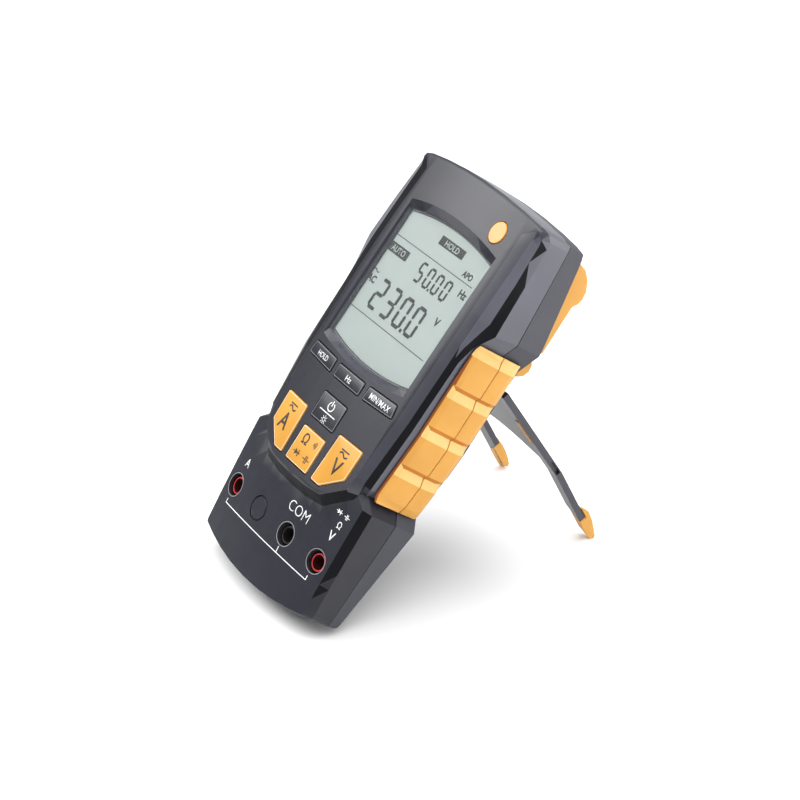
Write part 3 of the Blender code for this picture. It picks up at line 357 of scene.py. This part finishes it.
# The sides and the socket face are painted darker towards the lower end, as painted shade.
LOW_SIDE_END, LOW_FACE_END = 54, 58
LOW_MARGIN = 0.3
CHAMFER_REACH, CHAMFER_LEVEL = 34.2, 0.93
FACETS_START, FACETS_END, FLARE_START, STEP_END = 52, 160.5, 112, 60
EDGE_MARGIN, FACET_MARGIN = 0.3, 0.2


def front_zone(centre, normal, reach):
    """The look of one face of the front shell, in painted light and shade that differ left and right."""
    x, y = abs(centre.x), centre.y
    if centre.z < SIDE_TOP or normal.z < STEEP:
        return "side" if y > LOW_SIDE_END else "low_side"
    if y < LOW_FACE_END and centre.z < low_z(centre.x, y) + LOW_MARGIN:
        if normal.z < SLOPED:
            return "low_side"
        return "chamfer" if reach > CHAMFER_REACH and normal.z < CHAMFER_LEVEL else "low_face"
    if FACETS_START < y < FACETS_END and x > along(FACE_EDGE, y) - EDGE_MARGIN:
        if x < along(FACET_EDGE, y) - FACET_MARGIN:
            return "edge" if centre.x > 0 else "chamfer"
        if x < along(FLARE_EDGE, y) - FACET_MARGIN and y > FLARE_START:
            return "side"
        if x < along(SIDE_EDGE, y) + EDGE_MARGIN:
            return "chamfer" if centre.x > 0 else "side"
        return "side"
    if y < STEP_END and normal.z < LEVEL:
        return "chamfer"
    return "face" if normal.z > LEVEL else "edge"


MOUTH_LEVEL, MOUTH_FLOOR = 0.5, -8


def mouth_zone(centre, normal, reach):
    """A socket liner: its front rim, with a painted highlight, and the rest."""
    return "rim" if normal.z > MOUTH_LEVEL and centre.z > MOUTH_FLOOR else "liner"


def sleeve_zone(centre, normal, reach):
    """A sleeve: its front end, and its walls, in painted shade inside the red sleeves."""
    return 0 if normal.z > MOUTH_LEVEL else 1


FRONT_ZONES = ("face", "low_face", "edge", "chamfer", "side", "low_side")
skin("front_shell", "face", 0.0, zones=(FRONT_ZONES, front_zone))
skin("rear_shell", "rear", 0.0)
skin("battery_cover", "rear", 0.25)
skin("case_seal", "seal", 0.0)
skin("badge", "badge", 0.3, 3)
skin("display_window", "window", 0.0)
skin("lcd_module", "lcd", 0.0)
for name in ("voltage", "current", "resistance"):
    skin("key_" + name, "amber", 0.12)
for name in ("power", "hold", "min_max", "frequency"):
    skin("key_" + name, "grey", 0.12)
for name in ("current", "common", "voltage"):
    skin("socket_" + name, "liner", 0.1, zones=(("rim", "liner"), mouth_zone))
    sleeve_looks = ("black", "black") if name == "common" else ("red", "red_inside_shade")
    skin("sleeve_" + name, sleeve_looks[0], 0.1, zones=(sleeve_looks, sleeve_zone))
    skin("contact_" + name, "brass", 0.0)
GRIP_ZONES = ("grip", "grip_deep", "grip_shade", "grip_light")
GRIP_TOP, LIP_PITCH = 117.6, 16.4
LIPS = [GRIP_TOP - LIP_PITCH * i for i in range(1, 4)]
LIP_SHADE, LIP_LIGHT = 1.4, 3.4  # lengths of the painted shade over each lip and the painted light under it
# The recess gets painted shade, and the grip's top past GRIP_LIGHT_START gets painted light.
GROOVE_DEPTH, GROOVE_END, GRIP_LIGHT_START = -8.35, 112, 115.0
LIP_FACING = -0.2


def grip_zone(centre, normal, reach):
    """The look of one face of a grip: painted shade in its recess and over lips, painted light under them."""
    y = centre.y
    if centre.z > GROOVE_DEPTH and normal.z > SLOPED and y < GROOVE_END:
        return "grip_deep"
    if any(lip < y < lip + LIP_SHADE for lip in LIPS) and normal.y < LIP_FACING:
        return "grip_shade"
    if any(lip - LIP_LIGHT < y < lip for lip in LIPS) or y > GRIP_LIGHT_START:
        return "grip_light"
    return "grip"


for side in ("left", "right"):
    for half in ("front", "rear"):
        skin(f"grip_{side}_{half}", "grip", 0.25, 2, 14.0, zones=(GRIP_ZONES, grip_zone))
    skin("rear_rail_" + side, "grip", 0.7, 3, 30.0)
    skin("rear_lug_" + side, "grip", 0.7, 3, 30.0)
    skin("foot_" + side, "grip", 0.4, 3, 30.0)
    skin("stand_pad_" + side, "grip", 0.1)
    skin("cover_screw_" + side, "steel", 0.1)
    for end in ("lower", "upper"):
        skin(f"case_screw_{end}_{side}", "steel", 0.1)
skin("stand", "stand", 0.0)
skin("hinge_pin", "steel", 0.0)


# ---------------------------------------------------------------- display

SEGMENTS = {"0": "abcdef", "2": "abdeg", "3": "abcdg", "5": "acdfg"}


def digit(char, x, y, w, h, t):
    """Seven bars of one digit whose lower left corner is at x, y."""
    gap = 0.12 * t
    mid = y + h / 2

    def across(level, inset_low, inset_high):
        return [(x + inset_low, level), (x + t * 0.5 + inset_low * 0.5, level + t / 2),
                (x + w - t * 0.5 - inset_high * 0.5, level + t / 2), (x + w - inset_high, level),
                (x + w - t * 0.5 - inset_high * 0.5, level - t / 2),
                (x + t * 0.5 + inset_low * 0.5, level - t / 2)]

    def upright(place, low, high):
        return [(place, low + gap), (place + t / 2, low + t / 2 + gap), (place + t / 2, high - t / 2 - gap),
                (place, high - gap), (place - t / 2, high - t / 2 - gap), (place - t / 2, low + t / 2 + gap)]

    top, bottom = y + h - t / 2, y + t / 2
    left, right = x + t / 2, x + w - t / 2
    bars = {"a": across(top, gap + t / 2, gap + t / 2), "g": across(mid, gap + t / 2, gap + t / 2),
            "d": across(bottom, gap + t / 2, gap + t / 2), "f": upright(left, mid, top),
            "b": upright(right, mid, top), "e": upright(left, bottom, mid),
            "c": upright(right, bottom, mid)}
    return [bars[key] for key in SEGMENTS[char]]


def number(text, x, y, w, h, t, pitch):
    """Digits and points from a lower left corner, w wide, h tall and t thick."""
    shapes = []
    for char in text:
        if char == ".":
            dot = x - (pitch - w) / 2
            shapes.append([(dot - t / 2, y), (dot + t / 2, y), (dot + t / 2, y + t), (dot - t / 2, y + t)])
            continue
        shapes += digit(char, x, y, w, h, t)
        x += pitch
    return shapes


shapes = number("50.00", -5.2, 123.1, 3.7, 8.0, 0.95, 5.3)
shapes += number("230.0", -18.0, 105.7, 5.6, 12.3, 1.35, 7.85)
shapes += stroke([(-24.8, 133.2), (22.6, 133.4)], 0.3) + stroke([(-24.8, 102.9), (22.4, 103.0)], 0.3)
shapes += stroke(tilde(-23.4, 118.3, 3.2, 0.9), 0.4)
shapes.append([(-4.3, 139.0), (10.5, 139.0), (10.5, 142.5), (-4.3, 142.5)])
shapes.append([(-25.3, 126.7), (-13.4, 126.7), (-13.4, 130.5), (-25.3, 130.5)])
prisms("display_marks", shapes, "segment", "case", lcd_z, 0.06, 0.05)
lettering("display_hold", "HOLD", 3.1, 140.75, 2.3, "lcd", "case", lcd_z, 1.0, 0.02, 0.10)
lettering("display_auto", "AUTO", -19.35, 128.6, 2.4, "lcd", "case", lcd_z, 0.9, 0.02, 0.10)
lettering("display_apo", "APO", 17.6, 135.9, 2.5, "segment", "case", lcd_z, 0.85, 0.035, 0.06)
lettering("display_hz", "Hz", 20.6, 129.6, 3.0, "segment", "case", lcd_z, 0.9, 0.035, 0.06)
lettering("display_v", "V", 17.6, 116.5, 3.2, "segment", "case", lcd_z, 0.9, 0.035, 0.06)
lettering("display_ac", "AC", -23.2, 115.0, 3.0, "segment", "case", lcd_z, 0.85, 0.035, 0.06)


# ---------------------------------------------------------------- legends

def diode(cx, cy, s):
    """A filled arrow, its bar and its lead."""
    return [[(cx - 0.5 * s, cy - 0.55 * s), (cx + 0.4 * s, cy), (cx - 0.5 * s, cy + 0.55 * s)],
            *stroke([(cx + 0.48 * s, cy - 0.6 * s), (cx + 0.48 * s, cy + 0.6 * s)], 0.18 * s),
            *stroke([(cx - 1.0 * s, cy), (cx + 1.0 * s, cy)], 0.16 * s)]


def capacitor(cx, cy, s):
    """Two plates and their leads."""
    return [*stroke([(cx - 0.2 * s, cy - 0.7 * s), (cx - 0.2 * s, cy + 0.7 * s)], 0.18 * s),
            *stroke([(cx + 0.2 * s, cy - 0.7 * s), (cx + 0.2 * s, cy + 0.7 * s)], 0.18 * s),
            *stroke([(cx - 1.0 * s, cy), (cx - 0.2 * s, cy)], 0.16 * s),
            *stroke([(cx + 0.2 * s, cy), (cx + 1.0 * s, cy)], 0.16 * s)]


def mains(cx, cy):
    """A straight line over a wave."""
    wave = stroke(tilde(cx, cy - 0.6, 4.4, 1.3), 0.55)
    return wave + stroke([(cx - 2.2, cy + 0.9), (cx + 2.2, cy + 0.9)], 0.5)


def rim_line(points, depth):
    """A closed line a little inside a counter-clockwise outline."""
    made = []
    for i, (x, y) in enumerate(points):
        here = Vector((x, y))
        back = (here - Vector(points[i - 1])).normalized()
        ahead = (Vector(points[(i + 1) % len(points)]) - here).normalized()
        normal = Vector((-back.y - ahead.y, back.x + ahead.x)).normalized()
        moved = here + normal * depth / max(0.4, normal.dot(Vector((-back.y, back.x))))
        made.append((moved.x, moved.y))
    return made + [made[0]]


RANGE_KEY = [(11.0, 84.9), (10.7, 79.5), (27.6, 80.5), (26.7, 85.6)]
BIG_KEY = [(11.1, 64.9), (10.1, 45.8), (15.5, 45.8), (24.6, 53.2), (25.0, 65.1)]
KEY_SHAPES = {
    "min_max": (RANGE_KEY, "grey_key_edge_highlight"),
    "hold": ([(-x, y) for x, y in reversed(RANGE_KEY)], "grey_key_edge_highlight"),
    "frequency": ([(-8.4, 79.4), (8.4, 79.4), (8.4, 84.6), (-8.4, 84.6)], "grey_key_edge_highlight"),
    "power": ([(-7.5, 63.3), (7.5, 63.3), (7.5, 73.6), (-7.5, 73.6)], "grey_key_edge_highlight"),
    "resistance": ([(-7.1, 45.7), (7.1, 45.7), (7.1, 59.4), (-7.1, 59.4)], "amber_key_edge_highlight"),
    "voltage": (BIG_KEY, "amber_key_edge_highlight"),
    "current": ([(-x, y) for x, y in reversed(BIG_KEY)], "amber_key_edge_highlight"),
}
# Each key's rounded edge gets a thin painted highlight, a little inside its outline.
RIM_INSET, RIM_WIDTH = 0.42, 0.17
for name, (outline, look) in KEY_SHAPES.items():
    rim = stroke(rim_line(outline, RIM_INSET), RIM_WIDTH)
    prisms("edge_highlight_" + name, rim, look, "key_" + name, key_z, 0.02, 0.05)

prisms("legend_current_mark", mains(-17.6, 61.2), "dark_ink", "key_current", key_z)
lettering("legend_current", "A", -17.9, 55.2, 6.4, "dark_ink", "key_current", key_z, 0.85, 0.01)
prisms("legend_voltage_mark", mains(18.0, 60.6), "dark_ink", "key_voltage", key_z)
lettering("legend_voltage", "V", 18.0, 54.9, 6.2, "dark_ink", "key_voltage", key_z, 0.85, 0.01)
lettering("legend_ohm", "Ω", -2.2, 55.6, 4.2, "dark_ink", "key_resistance", key_z, 0.9, 0.01)
waves = [quad for r in (0.7, 1.4, 2.1) for quad in stroke(arc(2.4, 55.9, r, -38, 38, 6), 0.3)]
prisms("legend_ohm_marks", waves + diode(-2.8, 49.7, 2.0) + capacitor(3.4, 49.7, 2.0), "dark_ink",
       "key_resistance", key_z)
power = stroke(arc(0.2, 70.3, 1.65, 120, 420, 20), 0.42) + stroke([(0.2, 70.6), (0.2, 72.6)], 0.42)
power += stroke([(-4.7, 67.6), (4.9, 67.6)], 0.35) + stroke(arc(0.2, 65.1, 0.75, 0, 360, 14), 0.25)
for i in range(8):
    a = math.radians(45 * i)
    power += stroke([(0.2 + 1.1 * math.cos(a), 65.1 + 1.1 * math.sin(a)),
                     (0.2 + 1.6 * math.cos(a), 65.1 + 1.6 * math.sin(a))], 0.22)
prisms("legend_power", power, "white_ink", "key_power", key_z)
lettering("legend_hold", "HOLD", -18.8, 82.5, 2.1, "white_ink", "key_hold", key_z, 0.85, 0.004)
lettering("legend_frequency", "Hz", 0.0, 81.9, 2.3, "white_ink", "key_frequency", key_z, 0.9, 0.004)
lettering("legend_min_max", "MIN/MAX", 19.1, 82.5, 2.4, "white_ink", "key_min_max", key_z, 0.8, 0.004)

lettering("legend_a", "A", -27.7, 32.9, 3.2, "white_ink", "case", low_z, 0.9, 0.004)
lettering("legend_com", "COM", 10.4, 33.3, 4.0, "white_ink", "case", low_z, 0.95, -0.012)
lettering("legend_v", "V", 29.4, 34.3, 3.6, "white_ink", "case", low_z, 0.9, 0.004)
lettering("legend_socket_ohm", "Ω", 30.3, 39.2, 2.6, "white_ink", "case", low_z, 0.9, 0.004)
lines = stroke([(-28.7, 17.6), (-28.7, 15.9), (28.4, 15.9), (28.4, 17.6)], 0.32)
lines += stroke([(9.6, 18.4), (9.6, 15.9)], 0.3)
lines += diode(27.4, 43.1, 1.5) + capacitor(31.6, 43.1, 1.4)
prisms("legend_lines", lines, "white_ink", "case", low_z, 0.06, 0.1)


# ---------------------------------------------------------------- studio

def area(name, place, target, size, power):
    """A white rectangular light, aimed at a target."""
    light = bpy.data.lights.new(name, "AREA")
    light.shape = "RECTANGLE"
    light.size, light.size_y = size
    light.energy = power
    made = bpy.data.objects.new(name, light)
    bpy.context.scene.collection.objects.link(made)
    made.location = place
    made.rotation_euler = (Vector(target) - Vector(place)).to_track_quat("-Z", "Y").to_euler()


FLOOR_REACH = 30.0
ground = bmesh.new()
bmesh.ops.create_grid(ground, x_segments=1, y_segments=1, size=FLOOR_REACH)
floor_mesh = bpy.data.meshes.new("floor")
ground.to_mesh(floor_mesh)
ground.free()
floor_look = surface("floor_look", (0.84, 0.84, 0.84), (0.87, 0.87, 0.87), (0.7, 0.8), 30, 0.0)
floor_mesh.materials.append(floor_look)
floor = bpy.data.objects.new("floor", floor_mesh)
bpy.context.scene.collection.objects.link(floor)

world = bpy.data.worlds.new("studio")
bpy.context.scene.world = world
world.use_nodes = True
sky = world.node_tree
direction = sky.nodes.new("ShaderNodeTexCoord")
split = sky.nodes.new("ShaderNodeSeparateXYZ")
rise = sky.nodes.new("ShaderNodeMapRange")
rise.inputs["From Min"].default_value = 0.15
rise.inputs["From Max"].default_value = 0.9
rise.inputs["To Min"].default_value = 0.10
rise.inputs["To Max"].default_value = 0.9
sky.links.new(direction.outputs["Generated"], split.inputs["Vector"])
sky.links.new(split.outputs["Z"], rise.inputs["Value"])
sky.links.new(rise.outputs["Result"], sky.nodes["Background"].inputs["Strength"])
sky.nodes["Background"].inputs["Color"].default_value = (1.0, 1.0, 1.0, 1.0)

MIDDLE = (0, 0, 0.07)
area("overhead", (0.1, 0.1, 2.2), (0.1, 0.1, 0), (3.6, 3.6), 96.0)
area("front_left", (-0.95, -0.78, 0.90), MIDDLE, (0.9, 0.5), 15.0)
area("right_low", (0.85, 0.55, 0.14), (0.04, 0.03, 0.12), (0.55, 0.22), 5.0)

# A black card to the front left, for the case's facets to reflect.
CARD_SIZE = (0.9, 0.01, 0.20)
CARD_PLACE, CARD_TURN = (-0.42, -0.38, 0.101), math.radians(-50)
card = bmesh.new()
bmesh.ops.create_cube(card, size=1.0)
bmesh.ops.scale(card, vec=CARD_SIZE, verts=card.verts)
card_mesh = bpy.data.meshes.new("dark_card")
card.to_mesh(card_mesh)
card.free()
card_look = surface("card_look", (0.010, 0.010, 0.010), (0.014, 0.014, 0.014), (0.8, 0.9), 30, 0.0)
card_mesh.materials.append(card_look)
dark_card = bpy.data.objects.new("dark_card", card_mesh)
bpy.context.scene.collection.objects.link(dark_card)
dark_card.location = CARD_PLACE
dark_card.rotation_euler.z = CARD_TURN

LENS, SENSOR = 109.35, 36.0
CAMERA_AXES = ((0.5378, -0.4482, 0.7140), (0.5304, 0.8382, 0.1266), (-0.6553, 0.3106, 0.6886))
CAMERA_PLACE = (626.4, 194.2, 577.4)  # millimetres, in the meter's own frame
camera = bpy.data.objects.new("camera", bpy.data.cameras.new("camera"))
bpy.context.scene.collection.objects.link(camera)
camera.data.lens = LENS
camera.data.sensor_width = SENSOR
camera.data.clip_start = 0.05
axes = Matrix(CAMERA_AXES).to_4x4()
axes.translation = Vector(CAMERA_PLACE) * MM
camera.matrix_world = METER @ axes
bpy.context.scene.camera = camera
bpy.context.scene.view_settings.view_transform = "Standard"
